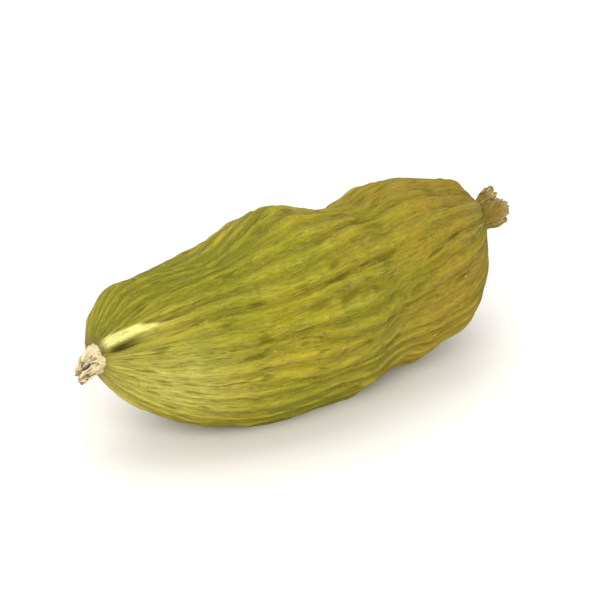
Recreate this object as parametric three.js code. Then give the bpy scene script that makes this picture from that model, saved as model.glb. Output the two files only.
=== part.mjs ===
import * as THREE from "three";

// A dried green cardamom pod lying on its side, in millimetres.
// It runs along X with the blossom end at low X and the stem stub at high X; Z is up.
// Angles go round the pod from -Y (0) over the top, +Z (90 degrees), to +Y (180 degrees).

// Length and girth
const POD_LENGTH = 17.2;
const HUSK_RADIUS = 3.3;
const WIDEST_AT = 7.4;
const HUSK_START = 0.12;
const HUSK_END = 16.25;
const BLOSSOM_POWER = 2.0;
const BLOSSOM_BLUNTNESS = 0.65;
const STEM_POWER = 3.0;
const STEM_BLUNTNESS = 0.62;

// Collar left by the flower, at the blossom end
const COLLAR_RADIUS = 0.5;
const COLLAR_ROUNDING = 0.28;

// Hollow stem stub
const STUB_RADIUS = 0.5;
const STUB_FLARE = 0.12;
const STUB_FLARE_LENGTH = 0.9;
const STUB_LIFT = 0.35;
const STUB_LIFT_START = 14.6;
const HOLLOW_RADIUS = 0.43;
const HOLLOW_FLOOR_RADIUS = 0.3;
const HOLLOW_DEPTH = 0.9;
const RIM_ROUNDING = 0.07;
const RIM_WAVES = [
  { height: 0.07, round: 3, start: 1 },
  { height: 0.042, round: 7, start: 0 },
];
const RIM_SETBACK = 0.06;
const END_BLEND = 4;

// Three rounded corners, each with a low seam along its crest
const CORNER_AT = degrees(43);
const CORNER_COUNT = 3;
const CORNER_FULLNESS = 0.055;
const TWIST = degrees(15);
const SEAM_HEIGHT = 0.09;
const SEAM_WIDTH = degrees(4.5);

// Waist, bow of the centre line
const WAIST_AT = 0.63;
const WAIST_LENGTH = 0.055;
const WAIST_DEPTH = 0.1;
const BOW = 0.75;
const BOW_TOWARDS = degrees(-55);

// Ribs running from end to end
const RIB_COUNT = 30;
const RIB_HEIGHT = 0.15;
const RIB_FADE_RADIUS = 1.4;
const RIB_MEAN_STRENGTH = 0.62;

// Waves along the ribs: how far they wander round the pod, and how their height comes and goes
const WANDER_WAVES = [
  { height: 0.045, along: 8.2, round: 2, start: 0 },
  { height: 0.02, along: 19, round: -5, start: 1 },
];
const STRENGTH_WAVES = [
  { height: 0.23, along: 7, perRib: 2.4 },
  { height: 0.15, along: -16, perRib: 5.1 },
];

// Slit between two valves at the blossom end, along the first seam
const SLIT_START = 0.2;
const SLIT_END = 1.8;
const SLIT_FADE = 0.7;
const SLIT_DEPTH = 0.5;
const SLIT_HALF_WIDTH = 0.13;
const SLIT_OFFSET = -0.13;
const LIP_HEIGHT = 0.12;
const LIP_HALF_WIDTH = 0.18;
const LIP_OFFSET = 0.19;

// Flat spot the pod rests on
const FLAT_PRESS = 0.44;

// Swellings and dents: place along the length (0 to 1), angle, half length, half angle, height
const SWELLINGS = [
  { at: 0.46, angle: 105, length: 0.06, spread: 30, height: 0.48 },
  { at: 0.57, angle: 105, length: 0.035, spread: 30, height: -0.14 },
  { at: 0.28, angle: 103, length: 0.09, spread: 40, height: -0.6 },
  { at: 0.09, angle: 125, length: 0.05, spread: 55, height: 0.52 },
  { at: 0.46, angle: -55, length: 0.14, spread: 40, height: -0.2 },
  { at: 0.67, angle: -50, length: 0.03, spread: 30, height: -0.2 },
  { at: 0.84, angle: -35, length: 0.07, spread: 55, height: 0.66 },
  { at: 0.78, angle: 100, length: 0.08, spread: 35, height: 0.28 },
  { at: 0.89, angle: 100, length: 0.05, spread: 50, height: 0.6 },
  { at: 0.28, angle: 225, length: 0.08, spread: 35, height: 0.12 },
  { at: 0.73, angle: 205, length: 0.07, spread: 30, height: 0.12 },
  { at: 0.42, angle: 15, length: 0.07, spread: 25, height: 0.12 },
  { at: 0.56, angle: -108, length: 0.14, spread: 38, height: 0.3 },
];

// Grid: stations along the pod, four points round it for every rib
const HUSK_STATIONS = 38;
const POINTS_PER_RIB = 4;

const HUSK_COLOUR = "#9c9238";
const HUSK_ROUGHNESS = 0.58;

function degrees(value) {
  return (value * Math.PI) / 180;
}

function clamp(value, low, high) {
  return Math.min(high, Math.max(low, value));
}

function smoothStep(low, high, value) {
  const t = clamp((value - low) / (high - low), 0, 1);
  return t * t * (3 - 2 * t);
}

function bell(distance, width) {
  return Math.exp(-((distance / width) ** 2));
}

function wrapAngle(angle) {
  return Math.atan2(Math.sin(angle), Math.cos(angle));
}

// Radius of the smooth husk: two blunted halves meeting at the widest place.
function huskRadius(x) {
  if (x < WIDEST_AT) {
    const left = clamp((WIDEST_AT - x) / (WIDEST_AT - HUSK_START), 0, 1);
    return HUSK_RADIUS * (1 - left ** BLOSSOM_POWER) ** BLOSSOM_BLUNTNESS;
  }
  const right = clamp((x - WIDEST_AT) / (HUSK_END - WIDEST_AT), 0, 1);
  return HUSK_RADIUS * (1 - right ** STEM_POWER) ** STEM_BLUNTNESS;
}

// Radius of what sticks out at the two ends: the collar and the flared stub.
function endRadius(x) {
  if (x < WIDEST_AT) {
    const rise = clamp(x / COLLAR_ROUNDING, 0, 1);
    return COLLAR_RADIUS * Math.sqrt(rise * (2 - rise));
  }
  return STUB_RADIUS + STUB_FLARE * smoothStep(POD_LENGTH - STUB_FLARE_LENGTH, POD_LENGTH, x);
}

function outerRadius(x) {
  return (huskRadius(x) ** END_BLEND + endRadius(x) ** END_BLEND) ** (1 / END_BLEND);
}

// Actual angle of a rib line: it twists along the pod and wanders a little.
function ribDirection(u, a) {
  let wander = 0;
  for (const wave of WANDER_WAVES) {
    wander += wave.height * Math.sin(wave.along * u + wave.round * a + wave.start);
  }
  return a + TWIST * u + wander * Math.sin(Math.PI * u);
}

// Relief above the smooth husk, at x along the pod on rib line a, with radius r.
function relief(x, a, r) {
  const u = x / POD_LENGTH;
  const fromCorner = a - CORNER_AT;
  const direction = ribDirection(u, a);
  const fade = clamp(r / RIB_FADE_RADIUS, 0, 1) ** 2;
  let height = r * CORNER_FULLNESS * Math.sqrt(Math.sin(Math.PI * u)) * Math.cos(CORNER_COUNT * fromCorner);
  height -= r * WAIST_DEPTH * bell(u - WAIST_AT, WAIST_LENGTH);
  for (const swelling of SWELLINGS) {
    const round = wrapAngle(direction - degrees(swelling.angle));
    height += swelling.height * bell(u - swelling.at, swelling.length)
      * bell(round, degrees(swelling.spread)) * clamp(r / HUSK_RADIUS, 0, 1);
  }
  const rib = Math.round((RIB_COUNT * fromCorner) / (2 * Math.PI)) % RIB_COUNT;
  let strength = RIB_MEAN_STRENGTH;
  for (const wave of STRENGTH_WAVES) {
    strength += wave.height * Math.sin(wave.perRib * rib + wave.along * u);
  }
  height += fade * strength * RIB_HEIGHT * (0.5 * Math.cos(RIB_COUNT * fromCorner) + 0.5);
  const cornerTurn = (2 * Math.PI) / CORNER_COUNT;
  const fromSeam = fromCorner - cornerTurn * Math.round(fromCorner / cornerTurn);
  height += fade * SEAM_HEIGHT * bell(fromSeam, SEAM_WIDTH);
  const across = wrapAngle(fromCorner) * r;
  const along = smoothStep(SLIT_START, SLIT_START + SLIT_FADE, x)
    * (1 - smoothStep(SLIT_END - SLIT_FADE, SLIT_END, x));
  height += along * LIP_HEIGHT * bell(across - LIP_OFFSET, LIP_HALF_WIDTH);
  height -= along * SLIT_DEPTH * bell(across - SLIT_OFFSET, SLIT_HALF_WIDTH);
  return height;
}

// A point of the pod from its distance along the pod, its rib line and its radius.
function podPoint(x, a, radius) {
  const u = clamp(x / POD_LENGTH, 0, 1);
  const direction = ribDirection(u, a);
  const bow = BOW * Math.sin(Math.PI * u);
  const lift = STUB_LIFT * smoothStep(STUB_LIFT_START, POD_LENGTH, x);
  return [
    x,
    -radius * Math.cos(direction) - bow * Math.cos(BOW_TOWARDS),
    radius * Math.sin(direction) + bow * Math.sin(BOW_TOWARDS) + lift,
  ];
}

// How far the rim of the stub stands out at rib line a.
function rimWave(a) {
  return RIM_WAVES.reduce((sum, wave) => sum + wave.height * Math.sin(wave.round * a + wave.start), 0);
}

// Rows of points from the blossom pole over the outside and the rim into the hollow.
function podRows(pointsRound) {
  const rows = [];
  const angles = Array.from({ length: pointsRound }, (_, j) => CORNER_AT + (2 * Math.PI * j) / pointsRound);
  const stubTop = POD_LENGTH - RIM_ROUNDING;
  for (let i = 1; i <= HUSK_STATIONS; i += 1) {
    const x = stubTop * (0.5 - 0.5 * Math.cos((Math.PI * i) / HUSK_STATIONS));
    const r = outerRadius(x);
    rows.push(angles.map((a) => podPoint(x, a, r + relief(x, a, r))));
  }
  const rimRadius = outerRadius(POD_LENGTH);
  const hollow = [
    [POD_LENGTH, rimRadius - RIM_ROUNDING, 1],
    [POD_LENGTH, HOLLOW_RADIUS + RIM_ROUNDING, 1],
    [stubTop, HOLLOW_RADIUS, 1],
    [POD_LENGTH - HOLLOW_DEPTH, HOLLOW_FLOOR_RADIUS, 0],
  ];
  for (const [x, r, unevenness] of hollow) {
    rows.push(angles.map((a) => podPoint(x + unevenness * rimWave(a) - RIM_SETBACK, a, r)));
  }
  return rows;
}

// Closed skin over the rows, with a pole at each end; points below the flat spot are pressed up to it.
function podGeometry() {
  const pointsRound = RIB_COUNT * POINTS_PER_RIB;
  const rows = podRows(pointsRound);
  const blossomPole = podPoint(0, 0, 0);
  const hollowPole = podPoint(POD_LENGTH - HOLLOW_DEPTH - RIM_SETBACK, 0, 0);
  const points = [blossomPole, ...rows.flat(), hollowPole];
  const last = points.length - 1;
  const at = (i, j) => 1 + i * pointsRound + (j % pointsRound);
  const faces = [];
  for (let j = 0; j < pointsRound; j += 1) {
    faces.push(0, at(0, j), at(0, j + 1));
    faces.push(last, at(rows.length - 1, j + 1), at(rows.length - 1, j));
    for (let i = 0; i + 1 < rows.length; i += 1) {
      faces.push(at(i, j), at(i + 1, j), at(i + 1, j + 1));
      faces.push(at(i, j), at(i + 1, j + 1), at(i, j + 1));
    }
  }
  const lowest = Math.min(...points.map((point) => point[2]));
  for (const point of points) {
    point[2] = Math.max(point[2], lowest + FLAT_PRESS);
  }
  const geometry = new THREE.BufferGeometry();
  geometry.setAttribute("position", new THREE.Float32BufferAttribute(points.flat(), 3));
  geometry.setIndex(faces);
  geometry.computeBoundingBox();
  const box = geometry.boundingBox;
  geometry.translate(-(box.min.x + box.max.x) / 2, -(box.min.y + box.max.y) / 2, -box.min.z);
  geometry.computeVertexNormals();
  return geometry;
}

const husk = new THREE.MeshStandardMaterial({ color: HUSK_COLOUR, roughness: HUSK_ROUGHNESS, metalness: 0 });
const pod = new THREE.Mesh(podGeometry(), husk);
pod.name = "cardamom_pod";

const group = new THREE.Group();
group.name = "green_cardamom_pod";
group.add(pod);

export default group;
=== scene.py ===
"""A dried green cardamom pod lying on its side on a pale surface.

The pod's form is one formula, held by PodShape with the same named sizes as the part's source. The husk's
skin takes that form and adds the finer relief: broken ribs, thin veins, puckers, torn edges. The papery rest
of the flower and the torn fibres of the stem stub are pieces of their own.
Lengths are in millimetres until a mesh is made; the row frame is in metres.
"""

import logging
import math
from dataclasses import dataclass, replace
from enum import Enum

import bpy
import numpy as np
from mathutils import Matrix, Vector


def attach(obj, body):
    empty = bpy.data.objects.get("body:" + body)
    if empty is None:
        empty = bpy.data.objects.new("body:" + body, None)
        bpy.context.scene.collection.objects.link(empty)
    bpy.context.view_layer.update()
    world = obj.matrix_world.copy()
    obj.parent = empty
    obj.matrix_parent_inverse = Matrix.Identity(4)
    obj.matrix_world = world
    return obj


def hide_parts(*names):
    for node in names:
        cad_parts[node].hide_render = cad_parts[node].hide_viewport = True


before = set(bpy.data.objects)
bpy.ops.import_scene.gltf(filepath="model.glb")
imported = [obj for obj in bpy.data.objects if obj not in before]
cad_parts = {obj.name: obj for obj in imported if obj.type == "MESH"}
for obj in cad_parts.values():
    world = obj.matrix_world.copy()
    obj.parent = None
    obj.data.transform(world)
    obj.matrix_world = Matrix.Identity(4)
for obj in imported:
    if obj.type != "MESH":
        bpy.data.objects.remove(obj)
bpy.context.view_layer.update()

LOG = logging.getLogger("cardamom")
MM = 0.001
TURN = 2 * math.pi
NOISE_GAIN = 1.75

Colour = tuple[float, float, float]
Pair = tuple[float, float]
Socket = bpy.types.NodeSocket


class RecordSlot(Enum):
    """Material slots of the record."""

    HUSK = "husk"


class Fibre(Enum):
    """Which way a strand of the stub lies."""

    OUTWARD = "outward"
    INWARD = "inward"


class Pattern(Enum):
    """What a texture draws: a cloudy noise, or the distance from the nearest of scattered points."""

    CLOUDS = "ShaderNodeTexNoise"
    SPOTS = "ShaderNodeTexVoronoi"


class Zone(Enum):
    """Where a ring of the husk's skin lies."""

    OUTSIDE = 0.0
    RIM = 1.0
    HOLLOW = 2.0


# Small mathematics


def smooth_step(low: float, high: float, value: np.ndarray) -> np.ndarray:
    """Rises smoothly from 0 at low to 1 at high: t squared times (3 minus 2 t).

    Args:
        low: where the rise starts.
        high: where it ends.
        value: the places asked for.

    Returns:
        The height at each place, 0 to 1.
    """
    t = np.clip((value - low) / (high - low), 0.0, 1.0)
    return t * t * (3.0 - 2.0 * t)


def bell(distance: np.ndarray, width: float, power: float = 2.0) -> np.ndarray:
    """A bump, e to the minus (distance over width) to the given power.

    Args:
        distance: distance from the middle of the bump.
        width: half width of the bump.
        power: 2 is a round bump, more makes it flat-topped with steep sides.

    Returns:
        The height, 1 in the middle.
    """
    return np.exp(-(np.abs(distance / width) ** power))


def wrap_angle(angle: np.ndarray) -> np.ndarray:
    """The same angle between minus and plus half a turn."""
    return np.arctan2(np.sin(angle), np.cos(angle))


def lattice_noise(along: np.ndarray, angle: np.ndarray, cells: tuple[int, int], seed: int) -> np.ndarray:
    """A smooth random field that closes round the pod.

    Seeded slopes in random directions stand on a lattice. Each place blends the four tilted planes of its
    neighbours by t cubed times (t times (6 t minus 15) plus 10), and a gain brings the blend to about 1.

    Args:
        along: place along the pod, 0 to 1.
        angle: angle round the pod in radians.
        cells: lattice cells along and round.
        seed: seed of the random slopes and of the lattice's own shift.

    Returns:
        The field at each place, -1 to 1.
    """
    rows, columns = cells
    rng = np.random.default_rng(seed)
    slope = rng.uniform(0.0, TURN, (rows + 3, columns))
    shift_along, shift_round = rng.uniform(0.0, 1.0, 2)
    s = np.clip(along, 0.0, 1.0) * rows + shift_along
    t = np.mod(angle / TURN, 1.0) * columns + shift_round
    i, j = np.floor(s).astype(int), np.floor(t).astype(int)
    fs, ft = s - i, t - j
    ws, wt = (f**3 * (f * (6 * f - 15) + 10) for f in (fs, ft))
    total = 0.0
    for down, over in ((0, 0), (0, 1), (1, 0), (1, 1)):
        tilt = slope[i + down, (j + over) % columns]
        weight = (ws if down else 1 - ws) * (wt if over else 1 - wt)
        total = total + weight * (np.cos(tilt) * (fs - down) + np.sin(tilt) * (ft - over))
    return np.clip(NOISE_GAIN * total, -1.0, 1.0)


@dataclass(frozen=True)
class Wave:
    """A sine wave along and round the pod."""

    height: float
    along: float
    round: float
    start: float = 0.0

    def at(self, u: np.ndarray, a: np.ndarray) -> np.ndarray:
        """Its height at place u along and angle a round the pod."""
        return self.height * np.sin(self.along * u + self.round * a + self.start)


@dataclass(frozen=True)
class Mottle:
    """A smooth random field with a height, a number of cells along and round the pod, and a seed."""

    height: float
    along: int
    round: int
    seed: int

    def at(self, u: np.ndarray, a: np.ndarray) -> np.ndarray:
        """Its height at place u along and angle a round the pod."""
        return self.height * lattice_noise(u, a, (self.along, self.round), self.seed)

    def reseeded(self, shift: int) -> "Mottle":
        """The same field with other random slopes."""
        return replace(self, seed=self.seed + shift)


def add_up(terms: tuple[Wave | Mottle, ...], u: np.ndarray, a: np.ndarray) -> np.ndarray:
    """The sum of waves and mottles at place u along and angle a round the pod."""
    return sum(term.at(u, a) for term in terms)


# Form of the pod


@dataclass(frozen=True)
class Swelling:
    """A rounded swelling of the husk, a dent where its height is below 0, or a patch of colour."""

    at: float
    angle: float
    length: float
    spread: float
    height: float

    def share(self, u: np.ndarray, direction: np.ndarray) -> np.ndarray:
        """How much of it there is: a bell along the pod times a bell round it."""
        around = wrap_angle(direction - math.radians(self.angle))
        return bell(u - self.at, self.length) * bell(around, math.radians(self.spread))


@dataclass(frozen=True)
class PodShape:
    """The pod's form in millimetres, with the sizes of the part's source."""

    length: float = 17.2
    husk_radius: float = 3.3
    widest_at: float = 7.4
    husk_start: float = 0.12
    husk_end: float = 16.25
    blossom_power: float = 2.0
    blossom_bluntness: float = 0.65
    stem_power: float = 3.0
    stem_bluntness: float = 0.62
    collar_radius: float = 0.5
    collar_rounding: float = 0.28
    stub_radius: float = 0.5
    stub_flare: float = 0.12
    stub_flare_length: float = 0.9
    stub_lift: float = 0.35
    stub_lift_start: float = 14.6
    hollow_radius: float = 0.43
    hollow_floor_radius: float = 0.3
    hollow_depth: float = 0.9
    rim_rounding: float = 0.07
    rim_waves: tuple[Wave, ...] = (Wave(0.07, 0, 3, 1), Wave(0.042, 0, 7, 0))
    rim_setback: float = 0.06
    end_blend: float = 4.0
    corner_at: float = math.radians(43)
    corner_count: int = 3
    corner_fullness: float = 0.055
    twist: float = math.radians(15)
    seam_height: float = 0.09
    seam_width: float = math.radians(4.5)
    waist_at: float = 0.63
    waist_length: float = 0.055
    waist_depth: float = 0.1
    bow: float = 0.75
    bow_towards: float = math.radians(-55)
    rib_count: int = 30
    rib_height: float = 0.15
    rib_fade_radius: float = 1.4
    rib_mean_strength: float = 0.62
    wander_waves: tuple[Wave, ...] = (Wave(0.045, 8.2, 2, 0), Wave(0.02, 19, -5, 1))
    strength_waves: tuple[Wave, ...] = (Wave(0.23, 7, 2.4), Wave(0.15, -16, 5.1))
    slit_start: float = 0.2
    slit_end: float = 1.8
    slit_fade: float = 0.7
    slit_depth: float = 0.5
    slit_half_width: float = 0.13
    slit_offset: float = -0.13
    lip_height: float = 0.12
    lip_half_width: float = 0.18
    lip_offset: float = 0.19
    flat_press: float = 0.44
    swellings: tuple[Swelling, ...] = (
        Swelling(0.46, 105, 0.06, 30, 0.48),
        Swelling(0.57, 105, 0.035, 30, -0.14),
        Swelling(0.28, 103, 0.09, 40, -0.6),
        Swelling(0.09, 125, 0.05, 55, 0.52),
        Swelling(0.46, -55, 0.14, 40, -0.2),
        Swelling(0.67, -50, 0.03, 30, -0.2),
        Swelling(0.84, -35, 0.07, 55, 0.66),
        Swelling(0.78, 100, 0.08, 35, 0.28),
        Swelling(0.89, 100, 0.05, 50, 0.6),
        Swelling(0.28, 225, 0.08, 35, 0.12),
        Swelling(0.73, 205, 0.07, 30, 0.12),
        Swelling(0.42, 15, 0.07, 25, 0.12),
        Swelling(0.56, -108, 0.14, 38, 0.3),
    )

    @property
    def stub_top(self) -> float:
        """Where the outside of the stub turns into its rim."""
        return self.length - self.rim_rounding

    def along(self, x: np.ndarray) -> np.ndarray:
        """Place along the pod, 0 at the blossom pole to 1 at the end of the stub."""
        return np.clip(x / self.length, 0, 1)

    def middle(self, u: np.ndarray) -> np.ndarray:
        """0 at both ends and 1 halfway: the root of the sine of half a turn times u."""
        return np.sqrt(np.sin(math.pi * u).clip(0))

    def across(self, a: np.ndarray, r: np.ndarray) -> np.ndarray:
        """Distance round the skin from the first corner, where the slit lies."""
        return wrap_angle(a - self.corner_at) * r

    def fade(self, r: np.ndarray) -> np.ndarray:
        """How much of the ribs is left where the pod narrows."""
        return np.clip(r / self.rib_fade_radius, 0, 1) ** 2

    def smooth_husk(self, x: np.ndarray) -> np.ndarray:
        """Radius of the husk alone: two blunted halves that meet at the widest place.

        Args:
            x: distance along the pod.

        Returns:
            The radius there, 0 past both ends of the husk.
        """
        left = np.clip((self.widest_at - x) / (self.widest_at - self.husk_start), 0, 1)
        right = np.clip((x - self.widest_at) / (self.husk_end - self.widest_at), 0, 1)
        blossom = (1 - left**self.blossom_power) ** self.blossom_bluntness
        stem = (1 - right**self.stem_power) ** self.stem_bluntness
        return self.husk_radius * np.where(x < self.widest_at, blossom, stem)

    def ends(self, x: np.ndarray) -> np.ndarray:
        """Radius of what sticks out of the husk: a rounded collar on one side, a flared stub on the other.

        Args:
            x: distance along the pod.

        Returns:
            The radius there.
        """
        rise = np.clip(x / self.collar_rounding, 0, 1)
        collar = self.collar_radius * np.sqrt(rise * (2 - rise))
        flare = smooth_step(self.length - self.stub_flare_length, self.length, x)
        return np.where(x < self.widest_at, collar, self.stub_radius + self.stub_flare * flare)

    def outer(self, x: np.ndarray) -> np.ndarray:
        """Radius of the outside at distance x: husk and ends joined by a rounded maximum."""
        power = self.end_blend
        return (self.smooth_husk(x) ** power + self.ends(x) ** power) ** (1 / power)

    def rib_direction(self, u: np.ndarray, a: np.ndarray) -> np.ndarray:
        """Actual angle of rib line a at place u: it twists along the pod and wanders by two waves."""
        return a + self.twist * u + add_up(self.wander_waves, u, a) * np.sin(math.pi * u)

    def rib_wave(self, a: np.ndarray) -> np.ndarray:
        """The even ribs at rib line a: a cosine wave, 0 in a valley to 1 on a crest."""
        return 0.5 * np.cos(self.rib_count * (a - self.corner_at)) + 0.5

    def rib_strength(self, u: np.ndarray, a: np.ndarray) -> np.ndarray:
        """Strength of the rib nearest to line a, which comes and goes along the pod by two waves.

        Args:
            u: place along the pod, 0 to 1.
            a: rib line in radians.

        Returns:
            The share of the full rib height.
        """
        rib = np.fmod(np.round(self.rib_count * (a - self.corner_at) / TURN), self.rib_count)
        return self.rib_mean_strength + add_up(self.strength_waves, u, rib)

    def from_seam(self, a: np.ndarray) -> np.ndarray:
        """Angle from the nearest of the corner seams."""
        turn = TURN / self.corner_count
        return (a - self.corner_at) - turn * np.round((a - self.corner_at) / turn)

    def slit_window(self, x: np.ndarray) -> np.ndarray:
        """1 along the slit, fading to 0 at both its ends."""
        opening = smooth_step(self.slit_start, self.slit_start + self.slit_fade, x)
        return opening * (1 - smooth_step(self.slit_end - self.slit_fade, self.slit_end, x))

    def body_relief(self, x: np.ndarray, a: np.ndarray, r: np.ndarray) -> np.ndarray:
        """Corners, waist and swellings of the husk above its smooth radius.

        Args:
            x: distance along the pod.
            a: rib line in radians.
            r: smooth radius there.

        Returns:
            The height in millimetres.
        """
        u = self.along(x)
        direction = self.rib_direction(u, a)
        fullness = self.corner_fullness * self.middle(u)
        height = r * fullness * np.cos(self.corner_count * (a - self.corner_at))
        height -= r * self.waist_depth * bell(u - self.waist_at, self.waist_length)
        for s in self.swellings:
            height += s.height * s.share(u, direction) * np.clip(r / self.husk_radius, 0, 1)
        return height

    def relief(self, x: np.ndarray, a: np.ndarray, r: np.ndarray) -> np.ndarray:
        """The whole relief of the part's source: body, ribs, seams and slit.

        Args:
            x: distance along the pod.
            a: rib line in radians.
            r: smooth radius there.

        Returns:
            The height in millimetres.
        """
        height = self.body_relief(x, a, r)
        height += self.fade(r) * self.rib_strength(self.along(x), a) * self.rib_height * self.rib_wave(a)
        height += self.fade(r) * self.seam_height * bell(self.from_seam(a), self.seam_width)
        across = self.across(a, r)
        window = self.slit_window(x)
        height += window * self.lip_height * bell(across - self.lip_offset, self.lip_half_width)
        height -= window * self.slit_depth * bell(across - self.slit_offset, self.slit_half_width)
        return height

    def place(self, x: np.ndarray, direction: np.ndarray, radius: np.ndarray) -> np.ndarray:
        """Points round a centre line that bows and lifts at the stub.

        Args:
            x: distance along the pod.
            direction: actual angle in radians, 0 at -Y and a quarter turn at +Z.
            radius: distance from the centre line.

        Returns:
            Points in millimetres, last axis x, y, z.
        """
        bow = self.bow * np.sin(math.pi * self.along(x))
        lift = self.stub_lift * smooth_step(self.stub_lift_start, self.length, x)
        y = -radius * np.cos(direction) - bow * math.cos(self.bow_towards)
        z = radius * np.sin(direction) + bow * math.sin(self.bow_towards) + lift
        return np.stack(np.broadcast_arrays(x, y, z), axis=-1)

    def rim_wave(self, a: np.ndarray) -> np.ndarray:
        """How far the stub's rim stands out at rib line a."""
        return add_up(self.rim_waves, 0.0, a)

    def row_shift(self) -> np.ndarray:
        """What moves the pod into the row frame: the source's own grid centred, and its flat spot at 0.

        Returns:
            The shift in millimetres.
        """
        stations, points_per_rib = 38, 4
        step = np.arange(1, stations + 1) / stations
        columns = self.rib_count * points_per_rib
        x = self.stub_top * (0.5 - 0.5 * np.cos(math.pi * step))
        a = self.corner_at + TURN * np.arange(columns) / columns
        grid_x, grid_a = np.meshgrid(x, a, indexing="ij")
        r = self.outer(grid_x)
        direction = self.rib_direction(self.along(grid_x), grid_a)
        points = self.place(grid_x, direction, r + self.relief(grid_x, grid_a, r)).reshape(-1, 3)
        rim = self.length + self.rim_wave(a) - self.rim_setback
        low, high = points.min(axis=0), points.max(axis=0)
        middle_x = max(high[0], rim.max()) / 2
        return np.array([-middle_x, -(low[1] + high[1]) / 2, -(low[2] + self.flat_press)])


# Meshes


def closed_skin(rows: int, columns: int) -> np.ndarray:
    """Triangles and quads of a closed tube with a pole at each end.

    Point 0 is the first pole, then the rows follow, and the last point is the other pole. Faces look outward
    when columns run anticlockwise as seen from the first pole's side looking along the rows.

    Args:
        rows: number of rings.
        columns: points in each ring.

    Returns:
        Faces as rows of four indices, with the last repeated in a triangle.
    """
    ring = np.arange(columns)
    after = (ring + 1) % columns
    first = np.stack([np.zeros(columns, int), 1 + ring, 1 + after, 1 + after], axis=1)
    end = 1 + (rows - 1) * columns
    last_pole = np.full(columns, 1 + rows * columns)
    last = np.stack([last_pole, end + after, end + ring, end + ring], axis=1)
    i, j = np.meshgrid(np.arange(rows - 1), ring, indexing="ij")
    k = (j + 1) % columns
    near, far = 1 + i * columns, 1 + (i + 1) * columns
    quads = np.stack([near + j, far + j, far + k, near + k], axis=-1)
    return np.concatenate([first, quads.reshape(-1, 4), last])


def make_mesh(
    name: str, points: np.ndarray, faces: np.ndarray, fields: dict[str, np.ndarray]
) -> bpy.types.Object:
    """Puts points and faces into a mesh object, with its fields as point attributes.

    Args:
        name: name of the object.
        points: points in millimetres, in the row frame.
        faces: rows of four indices, with the last repeated in a triangle.
        fields: attribute name to one value, or one vector, for each point.

    Returns:
        The linked object, shaded smooth.
    """
    mesh = bpy.data.meshes.new(name)
    is_triangle = faces[:, 2] == faces[:, 3]
    sizes = np.where(is_triangle, 3, 4)
    keep = np.ones(faces.shape, bool)
    keep[:, 3] = ~is_triangle
    corners = faces[keep]
    mesh.vertices.add(len(points))
    mesh.vertices.foreach_set("co", (points * MM).astype(np.float32).ravel())
    mesh.loops.add(len(corners))
    mesh.loops.foreach_set("vertex_index", corners.astype(np.int32))
    mesh.polygons.add(len(faces))
    starts = np.concatenate([[0], np.cumsum(sizes)[:-1]]).astype(np.int32)
    mesh.polygons.foreach_set("loop_start", starts)
    mesh.polygons.foreach_set("use_smooth", np.ones(len(faces), bool))
    mesh.update(calc_edges=True)
    for field_name, values in fields.items():
        is_vector = values.ndim == 2
        layer = mesh.attributes.new(field_name, "FLOAT_VECTOR" if is_vector else "FLOAT", "POINT")
        layer.data.foreach_set("vector" if is_vector else "value", values.astype(np.float32).ravel())
    mesh.validate()
    piece = bpy.data.objects.new(name, mesh)
    bpy.context.scene.collection.objects.link(piece)
    return piece


# Finishes


@dataclass(frozen=True)
class Texture:
    """A texture on a vector field of the mesh, with its cells for each unit of that field."""

    name: str
    cells: tuple[float, float, float]
    detail: float = 3.0
    roughness: float = 0.5
    distortion: float = 0.0
    pattern: Pattern = Pattern.CLOUDS
    reads: str = "grain"


@dataclass(frozen=True)
class Span:
    """A smooth map of a texture or field: from low to high it goes from at_low to at_high."""

    source: str
    low: float
    high: float
    at_low: float = 0.0
    at_high: float = 1.0


@dataclass(frozen=True)
class Coat:
    """A thin coat of colour. Its source is its share, or rises to it smoothly inside a window."""

    colour: Colour
    source: str
    strength: float = 1.0
    window: Pair | None = None


@dataclass(frozen=True)
class Bump:
    """A bump of the shading: its source, the metres that a source of 1 stands for, how much is used."""

    source: str
    distance: float
    strength: float


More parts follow.
